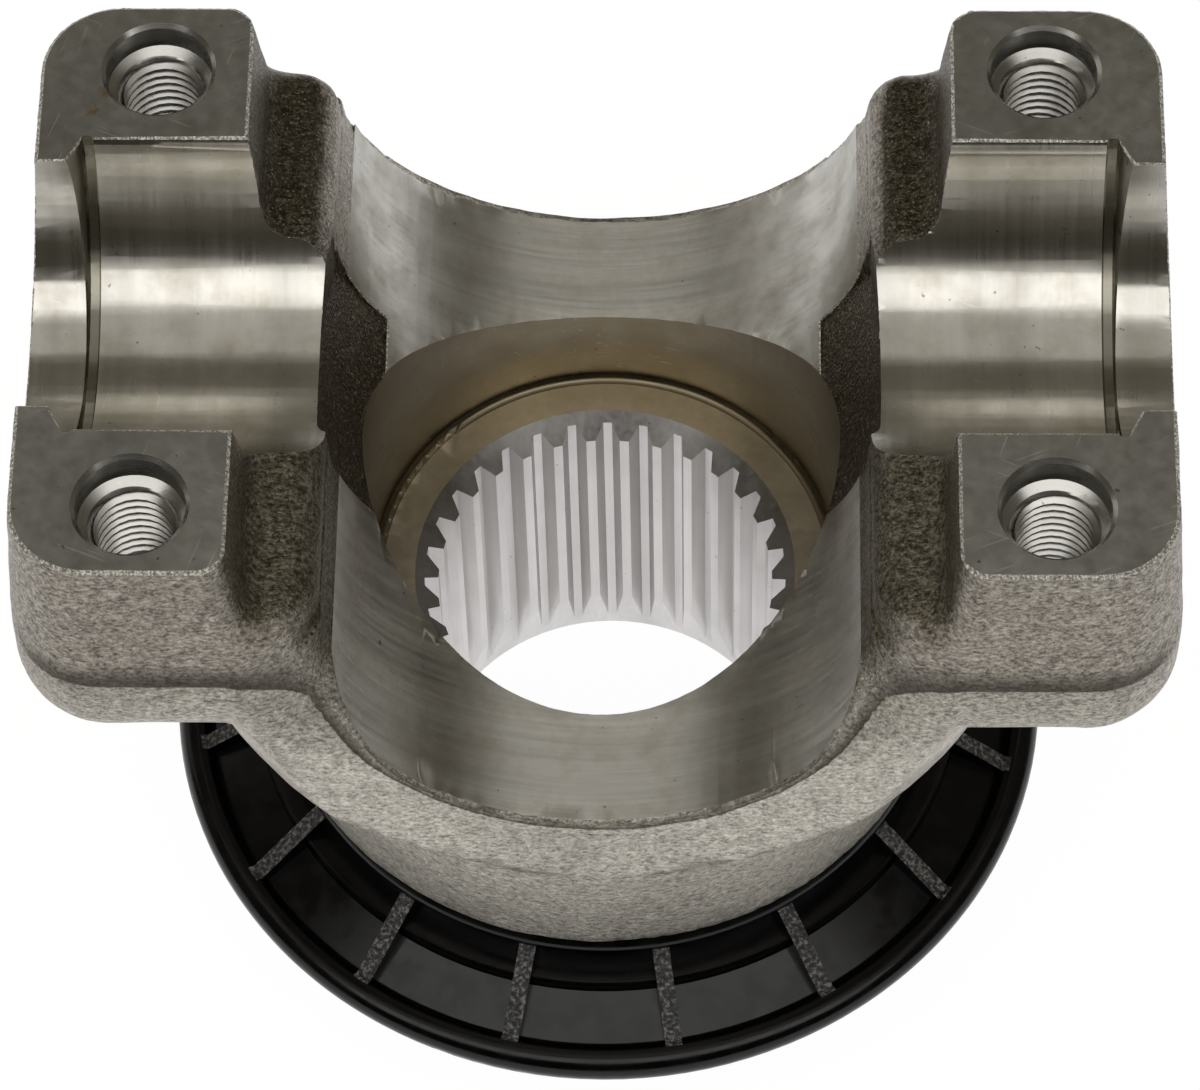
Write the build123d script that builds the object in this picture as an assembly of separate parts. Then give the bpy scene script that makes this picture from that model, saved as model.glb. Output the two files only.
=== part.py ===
from build123d import *
import math
import os

# A drive-shaft end yoke: one steel forging with machined seats, and the moulded
# dust slinger pressed on its hub. Millimetres, +Z up along the spline axis.
# The origin is the centre of the hub's end face, and the bearing caps lie along X.
# A "drop" is a depth below the plane of the four bolt pads.

# Bearing cap seats
pad_height = 87.4
cap_radius = 15.09
stop_span = 92.1
stop_slant = 27.0
relief_width = 1.2
relief_flank = 0.2
relief_undercut = 0.3
relief_depth = 0.6
lip_half_width = 12.9
seat_edge_break = 0.4
seat_edge_lean = 37.0

# Ears
ear_half_span = 50.3
pad_half_depth = 30.0
pad_inner = 31.4
pad_corner_radius = 7.0
ear_draft = 4.5
ear_bottom_drop = 28.4
ear_bottom_radius = 8.0

# Trim line of the forging: the band below it stands proud of the upper faces
trim_drop = 15.2
trim_step = 0.5
trim_margin = 1.2

# Shoulders beside the pads
shoulder_drop = 9.8
shoulder_wall_draft = 6.0
shoulder_wall_radius = 2.6
shoulder_edge_radius = 3.6
shoulder_end_radius = 2.6
ear_inner = 24.3

# Strap bolt holes
bolt_spacing_x = 79.5
bolt_spacing_y = 46.1
bolt_radius = 3.97
counterbore_radius = 4.8
counterbore_depth = 2.9
counterbore_mouth = 0.38
counterbore_floor_angle = 59.0

# Middle of the forging
swing_radius = 24.2
swing_drop = 13.8
throat_half_width = 25.3
throat_bend_drop = 15.0
throat_middle_half_width = 23.3
throat_middle_drop = 21.4
throat_bottom_half_width = 20.35
throat_bottom_drop = 27.4
throat_bow_radius = 105.0
throat_front = -7.2
throat_back = 14.4
throat_corner_radius = 1.5
body_half_depth = 34.0
body_band_bottom_drop = 46.5
belly_drop = 37.1
belly_radius = 40.9
belly_top_drop = 21.5
belly_top_radius = 45.0
belly_rounding = 6.0
neck_top_radius = 34.0
neck_radius = 32.3
neck_end_radius = 1.0
hub_shoulder_height = 24.4

# Nut recess and splined bore
nut_recess_radius = 21.8
nut_seat_drop = 48.4
nut_recess_corner = 0.8
spline_teeth = 31
spline_pitch_radius = 16.4
spline_major_radius = 17.12
spline_minor_radius = 15.875
spline_pressure_angle = 30.0
spline_lead_radius = 18.0
spline_exit_radius = 17.6
spline_exit_taper = 12.0

# Hub below the neck
land_radius = 27.5
land_length = 9.0
journal_radius = 25.4
journal_chamfer = 1.5

# Dust slinger
slinger_bore_clearance = 0.05
slinger_sleeve_wall = 2.4
slinger_sleeve_length = 8.4
slinger_web = 1.8
slinger_top_radius = 31.0
slinger_step_radius = 32.2
slinger_step_top = 1.4
slinger_step_bottom = 4.1
slinger_ledge_radius = 34.4
slinger_ledge_bottom = 5.6
slinger_rim_radius = 42.1
slinger_bead_radius = 1.7
slinger_bead_drop = 8.4
slinger_dish_radius = 39.4
slinger_dish_bottom = 8.1
slinger_web_end = 1.5
slinger_corner_shift = 0.6
rib_count = 16
rib_width = 1.6
rib_start_angle = -80.2
rib_inner_radius = 30.6
rib_inner_drop = 0.8
rib_outer_radius = 39.8
rib_outer_drop = 7.2

MACHINING_STOCK = 3.0
OVERLAP = 1.0
BEYOND = 10.0
NEAR = 0.1


def level(drop):
    """Height above the hub's end face of a depth below the pads."""
    return pad_height - drop


def run_out(height, degrees):
    """Sideways distance that a drafted wall moves over a height."""
    return height * math.tan(math.radians(degrees))


def revolved(points, axis=Axis.Z):
    """Solid of revolution about an axis from a closed half profile."""
    return revolve(Plane.XZ * make_face(Polyline(*points, close=True)), axis)


def upright_cylinder(radius, low, high):
    return Pos(0, 0, low) * extrude(Circle(radius), high - low)


def face_depth(drop):
    """Half depth of the drafted front and back faces at a depth below the pads."""
    return pad_half_depth + run_out(drop, ear_draft)


def ear_plan(step):
    """Outline of one ear at the trim line, round at its two outer corners."""
    grow = run_out(trim_drop, ear_draft)
    length = ear_half_span + grow
    depth = 2 * (pad_half_depth + grow + step)
    plan = Pos(length / 2, 0) * Rectangle(length, depth)
    outer = plan.vertices().group_by(Axis.X)[-1]
    return Pos(0, 0, level(trim_drop)) * fillet(outer, pad_corner_radius + grow)


def ear_blank():
    """Drafted upper half of one ear, and the plain band below its trim line."""
    upper = extrude(ear_plan(0), trim_drop + MACHINING_STOCK, taper=ear_draft)
    lower = extrude(ear_plan(trim_step), trim_drop - ear_bottom_drop)
    bottom = lower.faces().sort_by(Axis.Z)[0].edges()
    inmost = bottom.sort_by(Axis.X)[0]
    lower = fillet([e for e in bottom if e != inmost], ear_bottom_radius)
    return upper + lower


def shoulder_cutter():
    """Space above the shoulder and inside the ear, as seen from the front."""
    top = pad_height + 2 * MACHINING_STOCK
    wall_foot = pad_inner - run_out(shoulder_drop, shoulder_wall_draft)
    wall_head = pad_inner + run_out(top - pad_height, shoulder_wall_draft)
    shelf = level(shoulder_drop)
    low = level(trim_drop)
    face = make_face(Polyline(
        (0, top),
        (wall_head, top),
        (wall_foot, shelf),
        (ear_inner, shelf),
        (ear_inner, low),
        (0, low),
        close=True,
    ))
    foot = face.vertices().sort_by_distance((wall_foot, shelf, 0))[0]
    face = fillet(foot, shoulder_wall_radius)
    edge = face.vertices().sort_by_distance((ear_inner, shelf, 0))[0]
    face = fillet(edge, shoulder_edge_radius)
    return extrude(Plane.XZ * face, body_half_depth + BEYOND, both=True)


def shoulder_ends(ear):
    """Edges where the shoulder and the pad's inner wall meet the drafted faces."""
    top = pad_height + MACHINING_STOCK
    found = []
    for edge in ear.edges():
        middle = edge.position_at(0.5)
        inside = ear_inner - NEAR < middle.X < pad_inner + OVERLAP
        high = level(trim_drop) + NEAR < middle.Z < top - NEAR
        at_end = abs(middle.Y) > pad_half_depth - OVERLAP
        if inside and high and at_end:
            found.append(edge)
    return found


def forged_ear():
    ear = ear_blank() - shoulder_cutter()
    return fillet(shoulder_ends(ear), shoulder_end_radius)


def flared_core():
    """Neck that spreads out to the underside of the ears."""
    belly = level(belly_drop)
    half = make_face(Polyline(
        (0, hub_shoulder_height),
        (neck_radius, hub_shoulder_height),
        (neck_top_radius, level(body_band_bottom_drop)),
        (belly_radius, belly),
        (belly_top_radius, level(belly_top_drop)),
        (belly_top_radius, level(trim_drop)),
        (0, level(trim_drop)),
        close=True,
    ))
    corner = half.vertices().sort_by_distance((belly_radius, belly, 0))[0]
    core = revolve(Plane.XZ * fillet(corner, belly_rounding), Axis.Z)
    neck_edge = core.edges().filter_by(GeomType.CIRCLE).sort_by(Axis.Z)[0]
    return fillet(neck_edge, neck_end_radius)


def drafted_slab(step, low_depth):
    """Front and back faces of the body, drafted from the pads down to its band."""
    band = level(body_band_bottom_drop)
    high_depth = face_depth(0) + step
    side = Polyline(
        (-low_depth, 0),
        (low_depth, 0),
        (low_depth, band),
        (high_depth, pad_height),
        (-high_depth, pad_height),
        (-low_depth, band),
        close=True,
    )
    return extrude(Plane.YZ * make_face(side), ear_half_span + BEYOND, both=True)


def forged_body():
    """Round body between flat front and back faces."""
    return flared_core() & drafted_slab(trim_step, body_half_depth)


def hub():
    """Land for the slinger and the journal that the oil seal runs on."""
    land_bottom = hub_shoulder_height - land_length
    return revolved([
        (0, 0),
        (journal_radius - journal_chamfer, 0),
        (journal_radius, journal_chamfer),
        (journal_radius, land_bottom),
        (land_radius, land_bottom),
        (land_radius, hub_shoulder_height + OVERLAP),
        (0, hub_shoulder_height + OVERLAP),
    ])


def cap_seat_cutter():
    """Half-round seat, its relief groove, the slanted stop and the outer lip."""
    stop = stop_span / 2 + relief_undercut
    relief = stop - relief_width
    groove = cap_radius + relief_depth
    height = cap_radius
    reach = height * math.tan(math.radians(stop_slant))
    profile = make_face(Polyline(
        (0, 0),
        (0, cap_radius),
        (relief, cap_radius),
        (relief + relief_flank, groove),
        (stop - relief_flank, groove),
        (stop, cap_radius),
        (stop + reach, 0),
        close=True,
    ))
    seat = revolve(Plane.XY * profile, Axis.X)
    lip_radius = (lip_half_width ** 2 + cap_radius ** 2) / (2 * cap_radius)
    lip_plane = Plane((0, 0, lip_radius - cap_radius), x_dir=(0, 1, 0), z_dir=(1, 0, 0))
    lip = extrude(lip_plane * Circle(lip_radius), ear_half_span + BEYOND)
    slot = Pos(0, -lip_half_width, 0) * Box(
        ear_half_span + BEYOND, 2 * lip_half_width, cap_radius, align=Align.MIN
    )
    return Pos(0, 0, pad_height) * (seat + lip + slot)


def seat_edge_cutter():
    """Small bevels where the half-round seat breaks through the pads."""
    edge = cap_radius + seat_edge_break
    foot = edge - run_out(MACHINING_STOCK, seat_edge_lean)
    wedge = Plane.YZ * make_face(Polyline(
        (-edge, 0),
        (edge, 0),
        (foot, -MACHINING_STOCK),
        (-foot, -MACHINING_STOCK),
        close=True,
    ))
    length = stop_span / 2 + relief_undercut - relief_width
    return Pos(0, 0, pad_height) * extrude(wedge, length)


def bolt_hole_cutter():
    """Counterbore with a drilled floor, then the tapping hole through the ear."""
    mouth = counterbore_radius + counterbore_mouth
    cone = (counterbore_radius - bolt_radius) / math.tan(
        math.radians(counterbore_floor_angle)
    )
    hole = revolved([
        (0, OVERLAP),
        (mouth, OVERLAP),
        (mouth, 0),
        (counterbore_radius, -counterbore_mouth),
        (counterbore_radius, -counterbore_depth),
        (bolt_radius, -counterbore_depth - cone),
        (bolt_radius, -ear_bottom_drop - BEYOND),
        (0, -ear_bottom_drop - BEYOND),
    ])
    return Pos(0, 0, pad_height) * hole


def bolt_holes():
    grid = GridLocations(bolt_spacing_x, bolt_spacing_y, 2, 2)
    return [place * bolt_hole_cutter() for place in grid]


def throat_plan():
    """Outline of the throat seen along the spline axis, its two sides bowed out."""
    def half_width(y):
        bow = throat_bow_radius - math.sqrt(throat_bow_radius ** 2 - y ** 2)
        return throat_half_width - bow

    front = half_width(throat_front)
    back = half_width(throat_back)
    right = ThreePointArc((front, throat_front), (throat_half_width, 0), (back, throat_back))
    left = ThreePointArc((-back, throat_back), (-throat_half_width, 0), (-front, throat_front))
    plan = make_face([right, Line(right @ 1, left @ 0), left, Line(left @ 1, right @ 0)])
    return fillet(plan.vertices(), throat_corner_radius)


def throat_cutter():
    """Forged throat between the ears, its bowed walls closing in towards the hub."""
    top = pad_height + BEYOND
    bend = level(throat_bend_drop)
    middle = level(throat_middle_drop)
    bottom = level(throat_bottom_drop)
    right = ThreePointArc(
        (throat_half_width, bend),
        (throat_middle_half_width, middle),
        (throat_bottom_half_width, bottom),
    )
    left = mirror(right, about=Plane.YZ)
    floor = Line(left @ 1, right @ 1)
    opening = Polyline(
        left @ 0, (-throat_half_width, top), (throat_half_width, top), right @ 0
    )
    across = make_face([right, floor, left, opening])
    cut = extrude(Plane.XZ * across, -(throat_back - throat_front))
    cut = Pos(0, throat_front, 0) * cut
    return cut & extrude(Pos(0, 0, bottom) * throat_plan(), top - bottom)


def swing_cutter():
    """Milled clearance for the cross of the joint to swing through."""
    axis = Pos(0, 0, level(swing_drop)) * Rot(90, 0, 0)
    return extrude(axis * Circle(swing_radius), body_half_depth + BEYOND, both=True)


def trim_cutter():
    """Sets the faces back beside the swing, where the trim band follows its edge."""
    axis = Pos(0, 0, level(swing_drop)) * Rot(90, 0, 0)
    reach = swing_radius + trim_margin
    ring = extrude(axis * Circle(reach), body_half_depth + BEYOND, both=True)
    return ring - drafted_slab(0, body_half_depth - trim_step)


def nut_recess_cutter():
    seat = level(nut_seat_drop)
    recess = upright_cylinder(nut_recess_radius, seat, pad_height)
    corner = recess.edges().filter_by(GeomType.CIRCLE).sort_by(Axis.Z)[0]
    return fillet(corner, nut_recess_corner)


def spline_space():
    """Outline of the space between two teeth, centred on +Y."""
    pitch_angle = 2 * math.pi / spline_teeth
    half_at_pitch = spline_pitch_radius * pitch_angle / 4
    slope = math.tan(math.radians(spline_pressure_angle))

    def half_width(radius):
        return half_at_pitch - (radius - spline_pitch_radius) * slope

    inner = spline_minor_radius - OVERLAP
    crest = half_width(spline_major_radius)
    shoulder = math.sqrt(spline_major_radius ** 2 - crest ** 2)
    foot = half_width(inner)
    sides = Polyline((crest, shoulder), (foot, inner), (-foot, inner), (-crest, shoulder))
    root = ThreePointArc(
        (-crest, shoulder), (0, spline_major_radius), (crest, shoulder)
    )
    return make_face([sides, root])


def splined_bore_cutter():
    """Splines through the hub, opened by a lead bevel above and a taper below."""
    seat = level(nut_seat_drop)
    bore = upright_cylinder(spline_minor_radius, -OVERLAP, seat + OVERLAP)
    space = Pos(0, 0, -OVERLAP) * extrude(spline_space(), seat + OVERLAP)
    spaces = [Rot(0, 0, 360 * i / spline_teeth) * space for i in range(spline_teeth)]
    lead = spline_lead_radius - spline_minor_radius
    entry = revolved([
        (0, seat - lead),
        (spline_minor_radius, seat - lead),
        (spline_lead_radius, seat),
        (spline_lead_radius, seat + OVERLAP),
        (0, seat + OVERLAP),
    ])
    taper_height = (spline_exit_radius - spline_minor_radius) / math.tan(
        math.radians(spline_exit_taper)
    )
    leaving = revolved([
        (0, -OVERLAP),
        (spline_exit_radius, -OVERLAP),
        (spline_exit_radius, 0),
        (spline_minor_radius, taper_height),
        (0, taper_height),
    ])
    return [bore, entry, leaving] + spaces


def yoke():
    right = forged_ear()
    left = mirror(right, about=Plane.YZ)
    forging = right + left + forged_body() + hub()
    stock = Pos(0, 0, pad_height + BEYOND) * Box(
        2 * (ear_half_span + BEYOND), 2 * (body_half_depth + BEYOND), 2 * BEYOND
    )
    seat = cap_seat_cutter()
    edge = seat_edge_cutter()
    cutters = [
        stock,
        seat,
        mirror(seat, about=Plane.YZ),
        edge,
        mirror(edge, about=Plane.YZ),
        throat_cutter(),
        swing_cutter(),
        trim_cutter(),
        nut_recess_cutter(),
    ]
    cutters += bolt_holes()
    cutters += splined_bore_cutter()
    part = forging
    for cutter in cutters:
        part = part - cutter
    return part


def slinger_profile():
    """Half section of the slinger: sleeve, two steps, dished web and beaded rim."""
    top = hub_shoulder_height
    bore = land_radius + slinger_bore_clearance
    sleeve = bore + slinger_sleeve_wall
    ledge = top - slinger_step_bottom
    dish = top - slinger_ledge_bottom
    bead_x = slinger_rim_radius - slinger_bead_radius
    return make_face(Polyline(
        (bore, top),
        (slinger_top_radius, top),
        (slinger_step_radius, top - slinger_step_top),
        (slinger_step_radius, ledge),
        (slinger_ledge_radius, ledge),
        (slinger_ledge_radius, dish),
        (slinger_dish_radius, top - slinger_dish_bottom),
        (bead_x, top - slinger_bead_drop),
        (slinger_dish_radius, top - slinger_dish_bottom - slinger_web_end),
        (slinger_ledge_radius - slinger_corner_shift, dish - slinger_web),
        (slinger_step_radius - slinger_corner_shift, ledge - slinger_web),
        (sleeve, ledge - slinger_web),
        (sleeve, top - slinger_sleeve_length),
        (bore, top - slinger_sleeve_length),
        close=True,
    ))


def slinger_rib():
    """One radial rib standing on the dish, its top sloping down to the rim."""
    top = hub_shoulder_height
    web_depth = slinger_ledge_bottom + slinger_web / 2
    side = make_face(Polyline(
        (rib_inner_radius, top - rib_inner_drop),
        (rib_outer_radius, top - rib_outer_drop),
        (rib_outer_radius, top - slinger_bead_drop),
        (slinger_ledge_radius, top - web_depth),
        (rib_inner_radius, top - slinger_step_bottom),
        close=True,
    ))
    return extrude(Plane.XZ * side, rib_width / 2, both=True)


def dust_slinger():
    shell = revolve(Plane.XZ * slinger_profile(), Axis.Z)
    bead_x = slinger_rim_radius - slinger_bead_radius
    bead_z = hub_shoulder_height - slinger_bead_drop
    bead = Pos(0, 0, bead_z) * Torus(bead_x, slinger_bead_radius)
    part = shell + bead
    for i in range(rib_count):
        angle = rib_start_angle + 360 * i / rib_count
        part = part + Rot(0, 0, angle) * slinger_rib()
    return part


os.makedirs("parts", exist_ok=True)
export_step(yoke(), "parts/yoke.step")
export_step(dust_slinger(), "parts/dust_slinger.step")
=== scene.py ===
import math

import bmesh
import bpy
from mathutils import Matrix, Vector, noise


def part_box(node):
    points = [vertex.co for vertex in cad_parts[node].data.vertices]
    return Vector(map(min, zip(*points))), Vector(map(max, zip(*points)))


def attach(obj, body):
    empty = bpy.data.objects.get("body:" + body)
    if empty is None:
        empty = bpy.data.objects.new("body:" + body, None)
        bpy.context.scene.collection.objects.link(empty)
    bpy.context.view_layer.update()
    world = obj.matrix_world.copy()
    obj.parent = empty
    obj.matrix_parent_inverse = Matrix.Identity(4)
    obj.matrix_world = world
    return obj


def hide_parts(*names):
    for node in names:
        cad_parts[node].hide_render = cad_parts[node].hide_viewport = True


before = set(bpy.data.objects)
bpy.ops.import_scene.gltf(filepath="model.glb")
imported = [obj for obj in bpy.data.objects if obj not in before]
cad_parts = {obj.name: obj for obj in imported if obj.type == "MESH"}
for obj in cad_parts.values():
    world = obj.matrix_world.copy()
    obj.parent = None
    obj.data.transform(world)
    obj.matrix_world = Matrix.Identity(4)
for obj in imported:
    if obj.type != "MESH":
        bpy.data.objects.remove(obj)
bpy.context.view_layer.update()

scene = bpy.context.scene
scene.view_settings.view_transform = "Standard"


# The camera looks down on the four bolt pads from the front, as in the photograph.
# Its place is given by its angles and distance from the middle of the pads.
pad_plane = 0.0874
camera_azimuth = math.radians(2.19014)
camera_elevation = math.radians(55.92473)
camera_distance = 0.51575
camera_roll = math.radians(-1.66990)
camera_aim = Vector((0.000670, -0.026920, pad_plane))
sensor_width = 36.0
focal_pixels = 5875.77
photo_width = 1200

camera_place = Vector((0, 0, pad_plane)) + camera_distance * Vector((
    math.sin(camera_azimuth) * math.cos(camera_elevation),
    -math.cos(camera_azimuth) * math.cos(camera_elevation),
    math.sin(camera_elevation),
))
sight = (camera_aim - camera_place).normalized()
level_right = sight.cross(Vector((0, 0, 1))).normalized()
level_up = level_right.cross(sight)
picture_right = math.cos(camera_roll) * level_right + math.sin(camera_roll) * level_up
picture_up = math.cos(camera_roll) * level_up - math.sin(camera_roll) * level_right

camera = bpy.data.objects.new("camera", bpy.data.cameras.new("camera"))
scene.collection.objects.link(camera)
turned = Matrix((picture_right, picture_up, -sight)).transposed().to_4x4()
camera.matrix_world = Matrix.Translation(camera_place) @ turned
camera.data.sensor_fit = "HORIZONTAL"
camera.data.sensor_width = sensor_width
camera.data.lens = sensor_width * focal_pixels / photo_width
camera.data.clip_start = 0.01
scene.camera = camera


# A pale studio floor that the part stands on. It is white in the picture and in
# reflections, and darkens a little where the part keeps the light from it.
def add_node(tree, kind, values=(), **settings):
    node = tree.nodes.new(kind)
    for name, value in settings.items():
        setattr(node, name, value)
    for key, value in dict(values).items():
        if isinstance(value, bpy.types.NodeSocket):
            tree.links.new(value, node.inputs[key])
        else:
            node.inputs[key].default_value = value
    return node


def blank_material(name):
    material = bpy.data.materials.new(name)
    material.use_nodes = True
    material.node_tree.nodes.clear()
    return material, material.node_tree


def seen_directly(tree):
    """1 for camera, mirror and see-through rays, 0 for light that bounces on."""
    ray = add_node(tree, "ShaderNodeLightPath")
    mirrored = add_node(tree, "ShaderNodeMath", {
        0: ray.outputs["Is Camera Ray"], 1: ray.outputs["Is Glossy Ray"],
    }, operation="ADD")
    through = add_node(tree, "ShaderNodeMath", {
        0: mirrored.outputs[0], 1: ray.outputs["Is Transmission Ray"],
    }, operation="ADD", use_clamp=True)
    return through.outputs[0]


floor_size = 6.0
floor_form = bmesh.new()
bmesh.ops.create_grid(floor_form, x_segments=1, y_segments=1, size=floor_size / 2)
floor_mesh = bpy.data.meshes.new("floor")
floor_form.to_mesh(floor_mesh)
floor_form.free()
floor = bpy.data.objects.new("floor", floor_mesh)
scene.collection.objects.link(floor)

floor_paint, tree = blank_material("floor_paint")
bounce = add_node(tree, "ShaderNodeBsdfDiffuse", {"Color": (0.8, 0.8, 0.8, 1)})
shaded = add_node(tree, "ShaderNodeBsdfDiffuse", {"Color": (0.1, 0.1, 0.1, 1)})
white = add_node(tree, "ShaderNodeEmission", {"Color": (0.965, 0.965, 0.965, 1)})
backdrop = add_node(tree, "ShaderNodeAddShader", {0: shaded.outputs[0], 1: white.outputs[0]})
choice = add_node(tree, "ShaderNodeMixShader", {
    0: seen_directly(tree), 1: bounce.outputs[0], 2: backdrop.outputs[0],
})
add_node(tree, "ShaderNodeOutputMaterial", {"Surface": choice.outputs[0]})
floor_mesh.materials.append(floor_paint)


# The studio around the part: dark and warm, darker in front than behind, and
# white where the camera sees it past the floor.
world = bpy.data.worlds.new("studio")
world.use_nodes = True
tree = world.node_tree
tree.nodes.clear()
direction = add_node(tree, "ShaderNodeTexCoord")
parts = add_node(tree, "ShaderNodeSeparateXYZ", {0: direction.outputs["Generated"]})
depth = add_node(tree, "ShaderNodeMapRange", {
    "Value": parts.outputs["Y"], "From Min": -1.0, "From Max": 1.0,
})
room = add_node(tree, "ShaderNodeValToRGB", {0: depth.outputs[0]})
room.color_ramp.elements[0].color = (0.032, 0.029, 0.021, 1)
room.color_ramp.elements[1].color = (0.165, 0.152, 0.120, 1)
around = add_node(tree, "ShaderNodeBackground", {"Color": room.outputs[0]})
blank = add_node(tree, "ShaderNodeBackground", {"Color": (1, 1, 1, 1)})
ray = add_node(tree, "ShaderNodeLightPath")
choice = add_node(tree, "ShaderNodeMixShader", {
    0: ray.outputs["Is Camera Ray"], 1: around.outputs[0], 2: blank.outputs[0],
})
add_node(tree, "ShaderNodeOutputWorld", {"Surface": choice.outputs[0]})
scene.world = world


# Soft boxes: a wide one in front, high around the camera, a dimmer one overhead,
# and one low behind on the left. Radiance is what a mirror would show of them.
def soft_box(name, azimuth, elevation, distance, width, height, radiance, colour):
    lamp = bpy.data.lights.new(name, "AREA")
    lamp.shape = "RECTANGLE"
    lamp.size = width
    lamp.size_y = height
    lamp.color = colour
    lamp.energy = radiance * math.pi * width * height
    thing = bpy.data.objects.new(name, lamp)
    scene.collection.objects.link(thing)
    turn = math.radians(azimuth)
    rise = math.radians(elevation)
    outward = Vector((
        math.sin(turn) * math.cos(rise), -math.cos(turn) * math.cos(rise), math.sin(rise),
    ))
    thing.location = Vector((0, 0, 0.07)) + distance * outward
    thing.rotation_euler = outward.to_track_quat("Z", "Y").to_euler()


soft_box("front_box", 0, 59.5, 0.9, 1.7, 0.43, 1.75, (1.0, 0.99, 0.97))
soft_box("top_box", 180, 89, 0.9, 1.5, 0.58, 0.46, (1.0, 0.97, 0.92))
soft_box("rear_left_box", -125, 14, 0.9, 0.6, 0.5, 0.42, (1.0, 0.98, 0.95))


# The yoke is one drop forging with its seats, pads, holes, recess and splines
# machined into it. Its skin is shot-blasted scale, a little uneven all over.
SKIN, SHOULDER, THROAT, PAD, SEAT, CHAMFER, GROOVE = range(7)
SWING, RECESS, RING_SEAT, EDGE, SPLINE, HOLE, HUB = range(7, 14)
FORGED = {SKIN, SHOULDER, THROAT}
MM = 0.001

# Sizes in millimetres. A reach is how far a surface goes out from its own axis.
bolt_places = [(x, y) for x in (-39.75, 39.75) for y in (-23.05, 23.05)]
pad_level = 87.4
seat_radius = 15.09
seat_end = 24.1
swing_axis = 73.6
swing_radius = 24.2
milled_top = 67.4
recess_radius = 21.8
recess_floor = 39.0
hole_reach = 5.2
groove_reach = 15.78
groove_start, groove_end = 44.9, 46.6
chamfer_end = 47
spline_reach = 18.2
throat_side, throat_foot = 25.35, 59.9
throat_front, throat_back = -7.3, 14.5
hub_top, hub_reach = 24.45, 32.4
shoulder_foot, shoulder_reach = 72.1, 32


def finish_of(face):
    """Which cut or forged surface of the yoke a face belongs to."""
    points = [v.co / MM for v in face.verts]
    middle = sum(points, Vector()) / len(points)
    normal = face.normal
    for x, y in bolt_places:
        far = max(math.hypot(p.x - x, p.y - y) for p in points)
        if far < hole_reach and middle.z > 50 and abs(normal.z) < 0.99:
            return HOLE
    if middle.z > pad_level - 0.05 and normal.z > 0.99:
        return PAD
    around_seat = [math.hypot(p.y, p.z - pad_level) for p in points]
    across = [abs(p.x) for p in points]
    if max(around_seat) < groove_reach and min(across) > seat_end:
        grooved = min(across) > groove_start and max(across) < groove_end
        return GROOVE if grooved else SEAT
    if max(across) < chamfer_end and min(across) > seat_end:
        if all(abs(abs(p.y) - 15.1) < 0.45 and p.z > 86.8 for p in points):
            return CHAMFER
    swing = [math.hypot(p.x, p.z - swing_axis) for p in points]
    if swing_radius - 0.1 < min(swing) and max(swing) < swing_radius + 0.05:
        if abs(normal.y) < 0.1:
            return SWING
    out = [math.hypot(p.x, p.y) for p in points]
    high = [p.z for p in points]
    if max(out) < spline_reach and max(high) < recess_floor + 0.02 and normal.z > -0.99:
        return SPLINE
    if max(out) < recess_radius + 0.1 and min(high) > recess_floor - 0.1:
        return RING_SEAT if max(high) < recess_floor + 0.004 else RECESS
    if max(across) < throat_side and min(high) > throat_foot:
        if all(throat_front < p.y < throat_back for p in points):
            return THROAT
    if max(high) < hub_top and max(out) < hub_reach:
        return HUB
    if min(high) > shoulder_foot and max(across) < shoulder_reach:
        return SHOULDER
    return SKIN


def cut_across(faces, axis, place):
    """Cuts the given faces along one plane square to an axis and gives the parts."""
    point = Vector((0, 0, 0))
    point[axis] = place
    normal = Vector((0, 0, 0))
    normal[axis] = 1
    edges = {e for f in faces for e in f.edges}
    verts = {v for f in faces for v in f.verts}
    cut = bmesh.ops.bisect_plane(
        forging, geom=list(verts) + list(edges) + faces, dist=1e-6,
        plane_co=point, plane_no=normal,
    )
    return [part for part in cut["geom"] if isinstance(part, bmesh.types.BMFace)]


def kinds_at(vert):
    return {f.material_index for f in vert.link_faces}


def reaches(face, axis, place):
    along = [v.co[axis] for v in face.verts]
    return min(along) < place < max(along)


def break_edges(kinds, width):
    """Bevels the edges between two kinds of surface, as a file or a knock does."""
    found = [
        e for e in forging.edges
        if {f.material_index for f in e.link_faces} == kinds and e.calc_face_angle(0) > 0.3
    ]
    made = bmesh.ops.bevel(
        forging, geom=found, offset=width, offset_type="OFFSET", affect="EDGES",
        segments=1, profile=0.5, clamp_overlap=PAD not in kinds, material=-1,
    )
    for face in made["faces"]:
        face.material_index = SKIN if kinds == {SWING, SKIN} else EDGE


forging = bmesh.new()
forging.from_mesh(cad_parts["yoke"].data)
bmesh.ops.remove_doubles(forging, verts=forging.verts, dist=2e-6)
forging.normal_update()
for face in forging.faces:
    face.material_index = finish_of(face)
bmesh.ops.dissolve_limit(
    forging, angle_limit=math.radians(0.3), verts=forging.verts, edges=forging.edges,
    delimit={"MATERIAL"},
)
milled = [f for f in forging.faces if f.material_index == SWING]
cut_across([f for f in milled if reaches(f, 2, milled_top * MM)], 2, milled_top * MM)
for face in forging.faces:
    if face.material_index == SWING and face.calc_center_median().z > milled_top * MM:
        face.material_index = SHOULDER

for kinds, width in (
    ({PAD, SKIN}, 0.30),
    ({PAD, SHOULDER}, 0.26),
    ({PAD, SEAT}, 0.20),
    ({PAD, CHAMFER}, 0.28),
    ({SWING, SKIN}, 0.14),
    ({SEAT, SHOULDER}, 0.16),
    ({SEAT, THROAT}, 0.16),
    ({SEAT, SKIN}, 0.28),
    ({SWING, THROAT}, 0.14),
):
    break_edges(kinds, width * MM)

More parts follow.
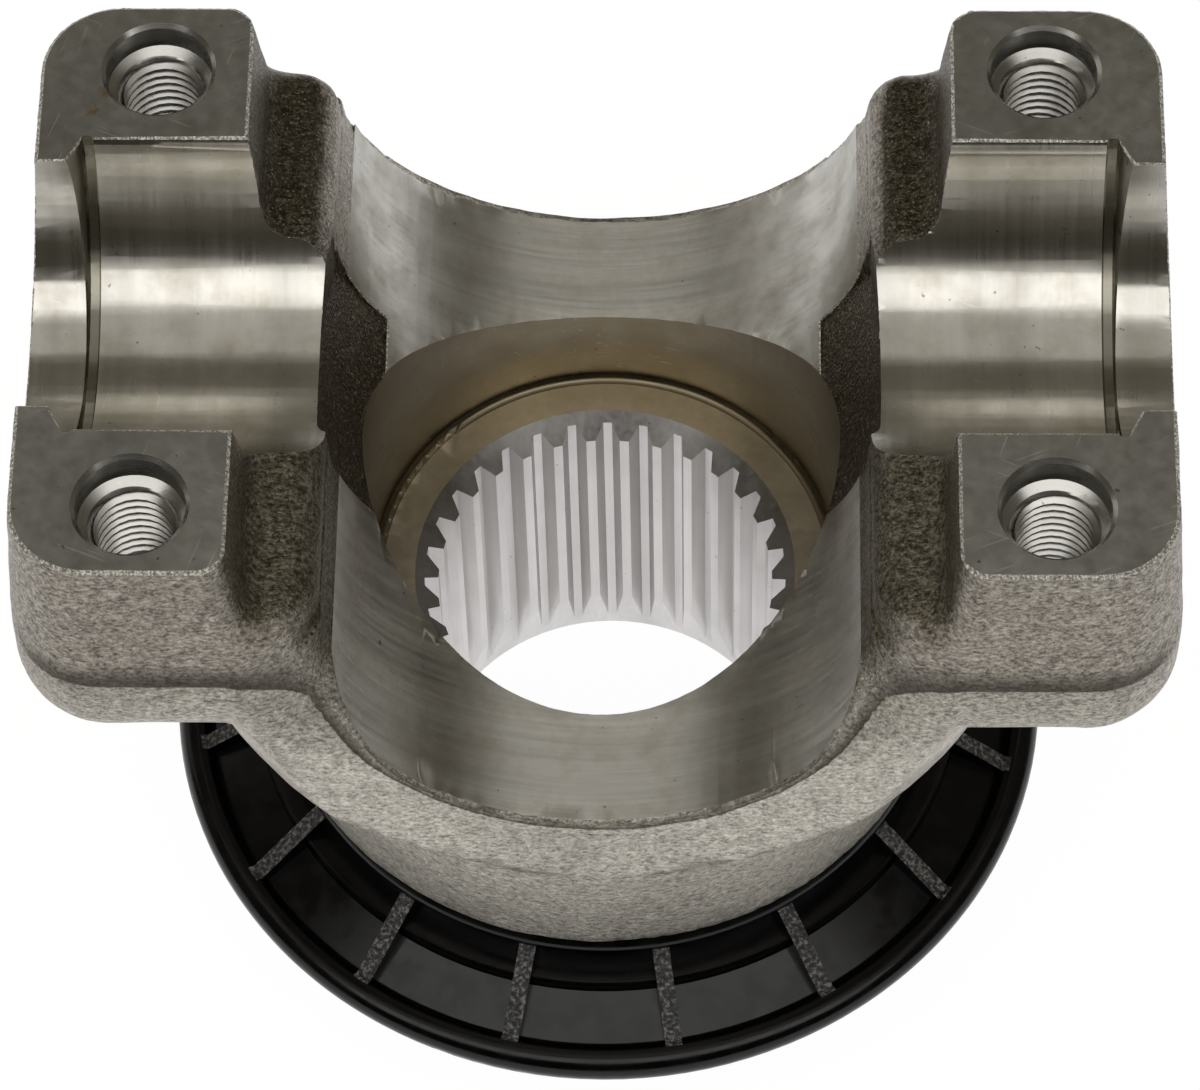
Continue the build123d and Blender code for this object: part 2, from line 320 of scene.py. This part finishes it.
# Every surface but the splines, the holes and the hub is cut into small squares,
# which lets the skin be uneven. Edges and the strip along the swing get smaller ones.
# The trim line lies a little below the ledge of the solid, which is taken away.
trim_line = 71.0
ledge = 72.2
trim_step = 0.5
step_ring = 25.4
skin_square, strip_square, edge_square = 1.5, 0.6, 0.45


def beside_swing(face):
    middle = face.calc_center_median() / MM
    around = math.hypot(middle.x, middle.z - swing_axis)
    return face.material_index == SKIN and around < 28 and abs(middle.y) > 29


def cut_apart(chosen, square, extra=()):
    """Cuts the chosen faces into squares, plane after plane along each axis."""
    for axis, low, high in ((0, -54.0, 54.0), (1, -36.0, 36.0), (2, 24.0, pad_level)):
        cuts = [low + step * square + 0.37 for step in range(1, int((high - low) / square))]
        if axis == 2:
            cuts += extra
        waiting = sorted(
            ((min(v.co[axis] for v in f.verts), f) for f in forging.faces if chosen(f)),
            key=lambda entry: entry[0], reverse=True,
        )
        active = []
        for cut in sorted(cuts):
            while waiting and waiting[-1][0] < cut * MM:
                active.append(waiting.pop()[1])
            active = [f for f in active if reaches(f, axis, cut * MM)]
            if active:
                active = cut_across(active, axis, cut * MM)


cut_apart(
    lambda face: face.material_index < SPLINE, skin_square,
    [trim_line + rise for rise in (-0.15, 0.3, 0.6, 1.0, 1.5, 2.1)],
)
cut_apart(beside_swing, strip_square)
cut_apart(lambda face: face.material_index == EDGE, edge_square)

# The cut surfaces are true cylinders; the points made inside the flat facets go out
# onto them, so that reflections run smoothly across.
cylinders = (
    (SEAT, (1, 0.0), (2, pad_level), seat_radius),
    (SWING, (0, 0.0), (2, swing_axis), swing_radius),
    (RECESS, (0, 0.0), (1, 0.0), recess_radius),
)
for vert in forging.verts:
    kinds = kinds_at(vert)
    for kind, (first, one), (second, other), radius in cylinders:
        if kind in kinds:
            across = Vector((vert.co[first] / MM - one, vert.co[second] / MM - other))
            if 0.0 < radius - across.length < 0.06:
                across *= radius / across.length
                vert.co[first] = (one + across.x) * MM
                vert.co[second] = (other + across.y) * MM
                break


def unevenness(point, size, depth):
    return depth * noise.noise(point / size)


def only_forged(vert):
    return kinds_at(vert) <= FORGED


def eased(value, start, end):
    share = min(1.0, max(0.0, (value - start) / (end - start)))
    return share * share * (3 - 2 * share)


path_turn = 8
flank_start, flank_end = 45, 75


def above_trim(place):
    """How far a point is above the trim line's path, how wide the blend is there,
    and what share of the step is left at its end.

    The path runs along the ears at one height, turns down beside the swing and
    closes up to the swing's edge towards the bottom.
    """
    turn = math.degrees(math.atan2(abs(place.x), swing_axis - place.z))
    share = eased(turn, flank_start, flank_end)
    up = place.z - trim_line
    inward = swing_radius + 0.35 + 1.1 * share - math.hypot(place.x, place.z - swing_axis)
    joined = max(0.0, path_turn - abs(up - inward)) ** 2 / (4 * path_turn)
    lean = share * eased(up - inward, -path_turn / 2, path_turn / 2)
    return max(up, inward) + joined, 0.45 + 0.55 * share + 1.7 * lean, 0.6 * (1 - lean)


def outward_tilt(vert):
    return vert.normal.y if vert.co.y > 0 else -vert.normal.y


# Above the trim line and beside the swing the faces swell out to meet the band below.
corner_x, corner_y, corner_reach = 43.3, 23.5, 8.196
pad_depth, band_depth = 30, 33.5
draft = math.tan(math.radians(4.5))
slack_inside, slack_outside = 0.16, 0.06
for vert in forging.verts:
    place = vert.co / MM
    deep = abs(place.y)
    if deep < corner_y + 0.05 or place.z < 42 or outward_tilt(vert) < -0.2:
        continue
    far, width, left = above_trim(place)
    swell = trim_step * (left + (1 - left) * max(0.0, 1 - max(0.0, far) / width) ** 2.2)
    back = min(band_depth, pad_depth + (pad_level - place.z) * draft)
    around = math.hypot(place.x, place.z - swing_axis)
    if abs(place.x) < corner_x:
        on_step = abs(around - step_ring) < 0.08 or abs(place.z - ledge) < 0.03
        reached = back - slack_inside < deep < back + trim_step + slack_outside
        if reached and (on_step or outward_tilt(vert) > 0.3):
            if far > -0.01 or around < step_ring + 0.1:
                vert.co.y = math.copysign((back + swell) * MM, place.y)
    elif place.z > trim_line:
        if abs(place.z - ledge) < 0.03:
            aside = min(corner_reach, abs(place.x) - corner_x)
            deep = corner_y + math.sqrt(corner_reach ** 2 - aside ** 2)
        if place.z < ledge + 0.03:
            deep -= trim_step
        vert.co.y = math.copysign((deep + swell) * MM, place.y)
bmesh.ops.remove_doubles(forging, verts=forging.verts, dist=0.02 * MM)
forging.normal_update()


# The forging's creases are rounded by the dies and the blasting.
def smooth_over(verts, times):
    for turn in range(times):
        bmesh.ops.smooth_vert(
            forging, verts=verts, factor=0.5, use_axis_x=True, use_axis_y=True, use_axis_z=True,
        )


creased = set()
for edge in forging.edges:
    if len(edge.link_faces) == 2 and edge.calc_face_angle(0) > math.radians(14):
        creased.update(edge.verts)
soft = {v for v in creased if only_forged(v)}
for turn in range(2):
    beside = {e.other_vert(v) for v in soft for e in v.link_edges}
    soft |= {v for v in beside if only_forged(v)}
smooth_over([
    v for v in soft if outward_tilt(v) < 0.3 or abs(above_trim(v.co / MM)[0]) > 0.7
], 3)

# The back corners of the ears' inner walls are rounded over, too.
smooth_over([
    v for v in forging.verts
    if v.co.y > 26 * MM and 65 < v.co.z / MM < 77 and abs(v.co.x) < 29 * MM and only_forged(v)
], 12)

# In front, where the ears' inner walls meet the face, the forging is well rounded.
# The milling took the rounding away lower down.
corner_round = 8.0
wall_slope = 0.27
for vert in forging.verts:
    place = vert.co / MM
    if place.y > -16 or place.z < 48:
        continue
    side, rise = abs(place.x), place.z - swing_axis
    angle = math.degrees(math.atan2(side, -rise))
    if angle < flank_end:
        wall = swing_radius - wall_slope * (flank_end - angle)
        inward = math.hypot(side, rise) - wall + 0.3
    else:
        wall = math.sqrt(swing_radius ** 2 - min(0.0, rise) ** 2)
        inward = side - wall + 0.3
    inward = max(0.0, inward)
    if inward < corner_round:
        fall = corner_round - math.sqrt(corner_round ** 2 - (corner_round - inward) ** 2)
        vert.co.y += fall * eased(-place.y, 17, 31) * MM

forging.normal_update()
moves = {}
for vert in forging.verts:
    kinds = kinds_at(vert)
    if kinds <= FORGED:
        lumps = unevenness(vert.co, 4.2 * MM, 0.09 * MM) + unevenness(vert.co, 1.9 * MM, 0.05 * MM)
        moves[vert] = vert.normal * lumps
    elif EDGE in kinds:
        ragged = unevenness(vert.co, 0.5 * MM, 0.10 * MM) + unevenness(vert.co, 1.6 * MM, 0.06 * MM)
        if kinds & {PAD}:
            moves[vert] = Vector((vert.normal.x, vert.normal.y, 0)) * (ragged - 0.05 * MM)
        elif kinds & {SWING}:
            moves[vert] = Vector((0, ragged, 0))
        elif kinds & {SEAT, CHAMFER}:
            moves[vert] = Vector((ragged, 0, 0))
        elif kinds & FORGED:
            moves[vert] = vert.normal * 0.5 * ragged
    elif kinds & FORGED:
        ragged = unevenness(vert.co, 1.7 * MM, 0.14 * MM)
        cut = kinds - FORGED
        if cut == {SWING} and vert.co.z < 67 * MM:
            moves[vert] = Vector((0, ragged, 0.5 * ragged))
        elif cut == {SWING}:
            moves[vert] = Vector((0, 0, ragged))
        elif cut == {RECESS}:
            moves[vert] = Vector((0, 0, ragged))
    elif kinds == {SWING, RECESS}:
        moves[vert] = Vector((0, 0, unevenness(vert.co, 1.1 * MM, 0.12 * MM)))
low_corner, high_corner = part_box("yoke")
for vert, move in moves.items():
    place = vert.co + move
    for axis in range(3):
        place[axis] = min(max(place[axis], low_corner[axis]), high_corner[axis])
    vert.co = place

bmesh.ops.triangulate(forging, faces=[f for f in forging.faces if len(f.verts) > 4])
forging.normal_update()
for face in forging.faces:
    face.smooth = True
for edge in forging.edges:
    if len(edge.link_faces) == 2:
        one, other = edge.link_faces
        kinds = {one.material_index, other.material_index}
        split = len(kinds) == 2 and not kinds <= FORGED and kinds != {RECESS, RING_SEAT}
        edge.smooth = not split and one.normal.angle(other.normal, 0) < math.radians(34)

# Inside the ears the skin is browner and darker: partly the forging's own oxide, partly
# painted shade, with the inner walls at the back painted lighter where light falls on them.
# Each point of the mesh carries how much so, how far it lies above the trim line (for a
# painted shade band there), how squarely it faces the front or the back, and how much it
# faces down (for painted shade on the undersides).
oxide_and_shade = forging.verts.layers.float.new("oxide_and_shade")
trim = forging.verts.layers.float.new("trim")
facing = forging.verts.layers.float.new("facing")
painted_underside_shade = forging.verts.layers.float.new("painted_underside_shade")
for vert in forging.verts:
    place = vert.co / MM
    inside = 1 - eased(abs(place.x), 31.6, 32.4)
    inside *= eased(place.z, 58.0, 60.0)
    inside *= 1 - eased(abs(vert.normal.y), 0.25, 0.7)
    inside *= 1 - eased(-place.y, 23, 29) * (1 - eased(place.z, 66.5, 71.5))
    # The inner walls at the back are left less tan: painted light on these walls.
    wall = eased(abs(vert.normal.x), 0.6, 0.75) * (1 - eased(abs(place.x), 26.6, 27.5))
    vert[oxide_and_shade] = inside * (1 - 0.85 * wall * eased(place.y, 8.0, 16.0))
    far, width, _ = above_trim(place)
    vert[trim] = far * min(2.7 / width, 3.0) if far > 0 else far
    vert[facing] = eased(outward_tilt(vert), 0.3, 0.8) * eased(abs(place.y), 24, 27)
    vert[painted_underside_shade] = eased(-vert.normal.z, 0.12, 0.30) * (1 - eased(place.z, 54, 58))

yoke_mesh = bpy.data.meshes.new("yoke_forging")
forging.to_mesh(yoke_mesh)
forging.free()
yoke = bpy.data.objects.new("yoke_forging", yoke_mesh)
scene.collection.objects.link(yoke)


# Forged skin: grey-tan steel with a fine blasted grain, dark in its pits and
# bright on its crests, drawn out sideways on the drafted faces.
def spot(tree, stretch=(1, 1, 1), turn=None):
    """The point on the piece, in metres, turned and then stretched for a pattern."""
    place = add_node(tree, "ShaderNodeTexCoord").outputs["Object"]
    if turn is not None:
        place = add_node(tree, "ShaderNodeMapping", {"Vector": place, "Rotation": turn}).outputs[0]
    return add_node(tree, "ShaderNodeMapping", {"Vector": place, "Scale": stretch}).outputs[0]


def pattern(tree, vector, scale, detail=2.0, rough=0.5):
    grain = add_node(tree, "ShaderNodeTexNoise", {
        "Vector": vector, "Scale": scale, "Detail": detail, "Roughness": rough,
    })
    return grain.outputs[0]


def ramp(tree, value, *stops):
    """Colour ramp; each stop is a place from 0 to 1 and a colour or grey."""
    node = add_node(tree, "ShaderNodeValToRGB", {0: value})
    line = node.color_ramp
    while len(line.elements) < len(stops):
        line.elements.new(0.5)
    for element, (place, colour) in zip(line.elements, stops):
        element.position = place
        if isinstance(colour, float):
            colour = (colour, colour, colour)
        element.color = (*colour, 1)
    return node.outputs[0]


def mixed(tree, share, first, second):
    node = add_node(tree, "ShaderNodeMix", data_type="RGBA")
    for key, value in ((0, share), (6, first), (7, second)):
        if isinstance(value, bpy.types.NodeSocket):
            tree.links.new(value, node.inputs[key])
        elif isinstance(value, tuple):
            node.inputs[key].default_value = (*value, 1)
        else:
            node.inputs[key].default_value = value
    return node.outputs[2]


def reckon(tree, operation, first, second=0.5, third=0.5):
    node = add_node(tree, "ShaderNodeMath", {0: first, 1: second, 2: third}, operation=operation)
    return node.outputs[0]


def raised(tree, height, depth):
    values = {"Height": height, "Distance": depth, "Strength": 1.0}
    return add_node(tree, "ShaderNodeBump", values).outputs[0]


def finish(tree, colour, metal, roughness, normal, **sockets):
    shader = add_node(tree, "ShaderNodeBsdfPrincipled", {
        "Base Color": colour, "Metallic": metal, "Roughness": roughness, "Normal": normal,
    })
    for name, value in sockets.items():
        shader.inputs[name.replace("_", " ")].default_value = value
    add_node(tree, "ShaderNodeOutputMaterial", {"Surface": shader.outputs[0]})
    return shader


def carried(tree, name):
    return add_node(tree, "ShaderNodeAttribute", attribute_name=name).outputs["Fac"]


skin_steel, tree = blank_material("skin_steel")
strokes = pattern(tree, spot(tree, (0.72, 1.0, 1.15)), 2500, 3.0, 0.68)
grit = pattern(tree, spot(tree), 4200, 2.0, 0.6)
lumps = pattern(tree, spot(tree), 800, 2.0, 0.5)
height = reckon(tree, "MULTIPLY_ADD", strokes, 0.62, reckon(tree, "MULTIPLY", grit, 0.20))
height = reckon(tree, "MULTIPLY_ADD", lumps, 0.18, height)
grey = ramp(tree, height, (0.38, (0.085, 0.073, 0.058)), (0.47, (0.250, 0.222, 0.186)),
            (0.56, (0.42, 0.385, 0.33)), (0.66, (0.62, 0.58, 0.51)))
# The pale ramp is used low down: the body below the ears is painted paler, painted light for the
# light it gets from the white floor.
pale = ramp(tree, height, (0.38, (0.25, 0.225, 0.19)), (0.47, (0.47, 0.44, 0.385)),
            (0.56, (0.66, 0.625, 0.56)), (0.66, (0.88, 0.85, 0.78)))
low = add_node(tree, "ShaderNodeSeparateXYZ", {0: spot(tree)})
lower = add_node(tree, "ShaderNodeMapRange", {
    "Value": low.outputs[2], "From Min": 0.073, "From Max": 0.058,
})
grey = mixed(tree, lower.outputs[0], grey, pale)
# Faces that look down, low on the body, are mixed towards a darker ramp: painted shade on the
# undersides.
grey = mixed(tree, reckon(tree, "MULTIPLY", carried(tree, "painted_underside_shade"), 0.62), grey,
             ramp(tree, height, (0.40, (0.07, 0.058, 0.042)), (0.66, (0.45, 0.41, 0.34))))
tan = ramp(tree, height, (0.40, (0.026, 0.020, 0.012)), (0.50, (0.075, 0.061, 0.040)),
           (0.62, (0.19, 0.165, 0.115)))
specks = ramp(tree, grit, (0.62, 0.0), (0.72, 0.8))
tan = mixed(tree, specks, tan, (0.60, 0.54, 0.43))
# Towards the front the inside of the ears is painted lighter: painted light where the front lamp
# falls on it.
painted_front_light = ramp(tree, height, (0.40, (0.045, 0.037, 0.025)), (0.50, (0.165, 0.145, 0.105)),
            (0.60, (0.36, 0.33, 0.26)))
ahead = add_node(tree, "ShaderNodeMapRange", {
    "Value": low.outputs[1], "From Min": 0.0, "From Max": -0.018,
})
tan = mixed(tree, ahead.outputs[0], tan, painted_front_light)
# The tan mix inside the ears: partly the forging's own oxide, partly painted shade.
shade = mixed(tree, carried(tree, "oxide_and_shade"), grey, tan)
# A dark band just above the trim line on the front and back faces: painted shade, where the flash
# ridge keeps the floor's light from the face.
far = add_node(tree, "ShaderNodeMapRange", {
    "Value": carried(tree, "trim"), "From Min": -1.0, "From Max": 4.0,
})
painted_trim_shade = ramp(tree, far.outputs[0], (0.18, 0.0), (0.205, 0.92), (0.38, 0.70), (0.74, 0.0))
painted_trim_shade = reckon(tree, "MULTIPLY", painted_trim_shade, carried(tree, "facing"))
shade = mixed(tree, painted_trim_shade, shade, (0.050, 0.040, 0.030))
patches = pattern(tree, spot(tree), 90, 3.0, 0.6)
shade = mixed(tree, ramp(tree, patches, (0.45, 0.0), (0.75, 0.25)), shade, (0.16, 0.14, 0.11))
rough = ramp(tree, grit, (0.35, 0.52), (0.65, 0.38))
finish(tree, shade, 0.85, rough, raised(tree, height, 0.00028))

throat_steel, tree = blank_material("throat_steel")
height = pattern(tree, spot(tree), 2300, 3.0, 0.65)
shade = ramp(tree, height, (0.40, (0.024, 0.0155, 0.0065)), (0.56, (0.068, 0.048, 0.022)),
             (0.66, (0.18, 0.14, 0.08)))
specks = ramp(tree, pattern(tree, spot(tree), 4600, 2.0, 0.6), (0.62, 0.0), (0.70, 0.8))
shade = mixed(tree, specks, shade, (0.50, 0.46, 0.37))
finish(tree, shade, 0.85, 0.45, raised(tree, height, 0.00018))

# Broken edges: bare bright steel with a painted highlight, a colour running up to white on a
# half-metal finish so that they shine from every side.
edge_steel_and_glint, tree = blank_material("edge_steel_and_glint")
height = pattern(tree, spot(tree), 3800, 3.0, 0.7)
shade = ramp(tree, height, (0.42, (0.24, 0.225, 0.19)), (0.52, (0.58, 0.56, 0.50)),
             (0.62, (1.0, 0.99, 0.93)))
finish(tree, shade, 0.45, 0.42, raised(tree, height, 0.00012))


# Machined steel: every seat shows the fine lines of the tool that cut it, a few
# knocks, and thin scratches from handling.
def cut_steel(name, colour, roughness, grooves, depth, scratches=0.4, tint=None, stain=0.8,
              contrast=0.3, stretched=None, rust_spots=()):
    material, tree = blank_material(name)
    lines = pattern(tree, spot(tree, grooves), 1.0, 3.0, 0.65)
    bands = pattern(tree, spot(tree, tuple(g * 0.12 for g in grooves)), 1.0, 2.0, 0.5)
    spots = pattern(tree, spot(tree), 260, 4.0, 0.6)
    scratch = None
    turns = ((0.02, 0.01, 0.4), (0.01, 0.03, 1.9), (0.03, 0.02, 2.75))
    for turn in turns if scratches > 0.3 else turns[:1]:
        thin = pattern(tree, spot(tree, (120, 3800, 3800), turn), 1.0, 0.0)
        gate = pattern(tree, spot(tree, (1, 1, 1), turn), 190, 1.0)
        mark = reckon(tree, "MULTIPLY", ramp(tree, thin, (0.72, 0.0), (0.76, 1.0)),
                      ramp(tree, gate, (0.57, 0.0), (0.63, 1.0)))
        scratch = mark if scratch is None else reckon(tree, "MAXIMUM", scratch, mark)
    shade = mixed(tree, ramp(tree, bands, (0.35, 0.0), (0.65, 1.0)),
                  tuple(0.90 * c for c in colour), tuple(min(1.0, 1.08 * c) for c in colour))
    between = ramp(tree, lines, (0.3, contrast), (0.7, 0.0))
    shade = mixed(tree, between, shade, tuple(0.55 * c for c in colour))
    if tint is not None:
        shade = mixed(tree, ramp(tree, spots, (0.45, 0.0), (0.72, stain)), shade, tint)
    shade = mixed(tree, reckon(tree, "MULTIPLY", scratch, scratches), shade, (0.85, 0.84, 0.80))
    rust = ramp(tree, pattern(tree, spot(tree), 620, 3.0, 0.6), (0.765, 0.0), (0.80, 0.75))
    shade = mixed(tree, rust, shade, (0.16, 0.085, 0.035))
    pits = pattern(tree, spot(tree, (1, 1, 1), (0.5, 0.9, 0.2)), 1300, 1.0)
    pits = ramp(tree, pits, (0.765, 0.0), (0.80, 0.7))
    shade = mixed(tree, pits, shade, tuple(0.25 * c for c in colour))
    rough = reckon(tree, "MULTIPLY_ADD", lines, 0.5, reckon(tree, "MULTIPLY", spots, 0.5))
    rough = ramp(tree, rough, (0.35, roughness * 0.85), (0.65, roughness * 1.2))
    normal = raised(tree, lines, depth)
    ragged = pattern(tree, spot(tree), 1500, 2.0, 0.6) if rust_spots else None
    for place, size in rust_spots:
        apart = add_node(tree, "ShaderNodeVectorMath", {
            0: spot(tree), 1: place,
        }, operation="DISTANCE")
        blot = reckon(tree, "MULTIPLY_ADD", ragged, 0.0030, apart.outputs[1])
        blot = add_node(tree, "ShaderNodeMapRange", {
            "Value": blot, "From Min": size + 0.0019, "From Max": size + 0.0011, "To Max": 0.8,
        })
        shade = mixed(tree, blot.outputs[0], shade, (0.33, 0.19, 0.06))
    shader = finish(tree, shade, 1.0, rough, normal)
    if stretched is not None:
        shader.inputs["Anisotropic"].default_value = 0.85
        shader.inputs["Anisotropic Rotation"].default_value = 0.25
        around = add_node(tree, "ShaderNodeTangent", direction_type="RADIAL", axis=stretched)
        tree.links.new(around.outputs[0], shader.inputs["Tangent"])
    return material


rust_spots = (
    ((-0.0455, 0.01825, pad_plane), 0.00030),
    ((-0.0445, 0.0205, pad_plane), 0.00028),
)
pad_steel = cut_steel(
    "pad_steel", (0.475, 0.475, 0.455), 0.36, (700, 700, 700), 0.000005, 0.45,
    rust_spots=rust_spots,
)
seat_steel = cut_steel(
    "seat_steel", (0.61, 0.59, 0.545), 0.30, (2400, 50, 50), 0.000006, 0.15,
    tint=(0.42, 0.39, 0.32), stain=0.6, contrast=0.12, stretched="X",
)
chamfer_steel = cut_steel(
    "chamfer_steel", (0.30, 0.295, 0.27), 0.4, (3600, 60, 60), 0.00002, 0.1, contrast=0.7,
)
groove_steel = cut_steel("groove_steel", (0.30, 0.285, 0.235), 0.22, (60, 500, 500), 0.000006, 0.1)
swing_steel = cut_steel(
    "swing_steel", (0.74, 0.725, 0.68), 0.44, (60, 2400, 60), 0.000012, 0.15,
    tint=(0.42, 0.38, 0.30), stain=0.5, contrast=0.35, stretched="Y",
)
recess_steel = cut_steel(
    "recess_steel", (0.20, 0.168, 0.112), 0.30, (40, 40, 2200), 0.000005, 0.10,
    tint=(0.20, 0.155, 0.09), stain=0.5,
)
ring_steel = cut_steel("ring_steel", (0.66, 0.59, 0.46), 0.34, (900, 900, 900), 0.000004, 0.2)
spline_steel = cut_steel("spline_steel", (0.66, 0.64, 0.63), 0.34, (1800, 1800, 30), 0.000006, 0.1)
hole_steel = cut_steel("hole_steel", (0.49, 0.48, 0.455), 0.24, (60, 60, 2400), 0.000005, 0.1)
hub_steel = cut_steel("hub_steel", (0.60, 0.59, 0.56), 0.28, (40, 40, 2400), 0.000004, 0.2)
# One for each kind of surface, in the order of their numbers. Shoulders are skin.
for material in (
    skin_steel, skin_steel, throat_steel, pad_steel, seat_steel, chamfer_steel, groove_steel,
    swing_steel, recess_steel, ring_steel, edge_steel_and_glint, spline_steel, hole_steel, hub_steel,
):
    yoke_mesh.materials.append(material)
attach(yoke, "root")
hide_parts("yoke")


# The four strap bolt holes are tapped right through the ears. Each thread is one
# long ridge that winds down the hole's wall and runs out on the counterbore's cone.
thread_pitch = 1.058 * MM
thread_top = 84.45 * MM
cone_foot = 84.0 * MM
cone_flare = 1.66
thread_turns = 24
thread_steps = 24
wall_radius, crest_radius = 4.01 * MM, 3.40 * MM
crisp = math.radians(28)

for number, (x, y) in enumerate(bolt_places):
    thread = bmesh.new()
    rim = [thread.verts.new((radius, 0, thread_top + drop)) for radius, drop in (
        (wall_radius, 0.0),
        (crest_radius, -0.33 * MM),
        (crest_radius, -0.60 * MM),
        (wall_radius, -0.93 * MM),
    )]
    section = thread.faces.new(rim)
    bmesh.ops.spin(
        thread, geom=[section] + list(section.edges) + rim, cent=(0, 0, 0), axis=(0, 0, 1),
        dvec=(0, 0, -thread_pitch / thread_steps), angle=math.tau * thread_turns,
        steps=thread_steps * thread_turns, use_merge=False, use_duplicate=False,
    )
    bmesh.ops.recalc_face_normals(thread, faces=thread.faces)
    for vert in thread.verts:
        out = math.hypot(vert.co.x, vert.co.y)
        wall = wall_radius + cone_flare * max(0.0, vert.co.z - cone_foot)
        fade = min(1.0, max(0.0, (thread_top - vert.co.z) / thread_pitch - 0.25))
        share = (wall_radius - out) / (wall_radius - crest_radius)
        radius = wall - share * fade * (wall - crest_radius)
        vert.co.x *= radius / out
        vert.co.y *= radius / out
    bmesh.ops.translate(thread, verts=thread.verts, vec=(x * MM, y * MM, 0))
    for face in thread.faces:
        face.smooth = True
    thread.normal_update()
    for edge in thread.edges:
        edge.smooth = edge.calc_face_angle(0) < crisp
    thread_mesh = bpy.data.meshes.new(f"thread_{number}")
    thread.to_mesh(thread_mesh)
    thread.free()
    thread_mesh.materials.append(hole_steel)
    ridge = bpy.data.objects.new(f"thread_{number}", thread_mesh)
    scene.collection.objects.link(ridge)
    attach(ridge, "root")


# The dust slinger is a moulded black ring pressed on the hub, glossy, with softened
# corners and a coarse grey grain on the tops of its sixteen ribs.
RIB_TOP = 1
rib_pitch = 22.5
rib_start = -80.2
rib_inner, rib_outer, rib_half_width = 32.5, 40, 0.9
step_inner, step_outer, step_round = 26.5 * MM, 40.5 * MM, 0.35 * MM

ring = bmesh.new()
ring.from_mesh(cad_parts["dust_slinger"].data)
bmesh.ops.remove_doubles(ring, verts=ring.verts, dist=2e-6)
bmesh.ops.dissolve_limit(
    ring, angle_limit=math.radians(0.3), verts=ring.verts, edges=ring.edges,
    delimit={"NORMAL"},
)
ring.normal_update()
turned_edges = []
for edge in ring.edges:
    ends = [(math.hypot(v.co.x, v.co.y), v.co.z) for v in edge.verts]
    level = math.dist(*ends) < 0.02 * MM and edge.calc_length() > 0.3 * MM
    if level and step_inner < ends[0][0] < step_outer and edge.is_convex:
        if edge.calc_face_angle(0) > math.radians(25):
            turned_edges.append(edge)
bmesh.ops.bevel(
    ring, geom=turned_edges, offset=step_round, offset_type="OFFSET", affect="EDGES",
    segments=3, profile=0.5, clamp_overlap=True, material=-1,
)
ring.normal_update()
for face in ring.faces:
    middle = face.calc_center_median() / MM
    out = math.hypot(middle.x, middle.y)
    turned = math.degrees(math.atan2(middle.y, middle.x)) - rib_start
    aside = (turned + rib_pitch / 2) % rib_pitch - rib_pitch / 2
    on_rib = abs(math.radians(aside)) * out < rib_half_width
    if on_rib and rib_inner < out < rib_outer and face.normal.z > 0.4:
        face.material_index = RIB_TOP
    face.smooth = True
for edge in ring.edges:
    if len(edge.link_faces) == 2:
        one, other = edge.link_faces
        edge.smooth = one.normal.angle(other.normal, 0) < crisp
ring_mesh = bpy.data.meshes.new("slinger_ring")
ring.to_mesh(ring_mesh)
ring.free()
slinger = bpy.data.objects.new("slinger_ring", ring_mesh)
scene.collection.objects.link(slinger)

black_plastic, tree = blank_material("black_plastic")
mottle = pattern(tree, spot(tree), 1500, 2.0)
colour = ramp(tree, mottle, (0.4, (0.0006, 0.0006, 0.0008)), (0.6, (0.0014, 0.0014, 0.0017)))
rough = ramp(tree, pattern(tree, spot(tree), 400, 2.0), (0.4, 0.16), (0.6, 0.26))
finish(tree, colour, 0.0, rough, raised(tree, mottle, 0.000004), Specular_IOR_Level=0.32)
rib_grain, tree = blank_material("rib_grain")
grain = pattern(tree, spot(tree), 2600, 3.0, 0.65)
colour = ramp(tree, grain, (0.40, (0.010, 0.010, 0.011)), (0.52, (0.060, 0.058, 0.056)),
              (0.64, (0.26, 0.25, 0.24)))
finish(tree, colour, 0.0, 0.6, raised(tree, grain, 0.00012))
ring_mesh.materials.append(black_plastic)
ring_mesh.materials.append(rib_grain)
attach(slinger, "root")
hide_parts("dust_slinger")
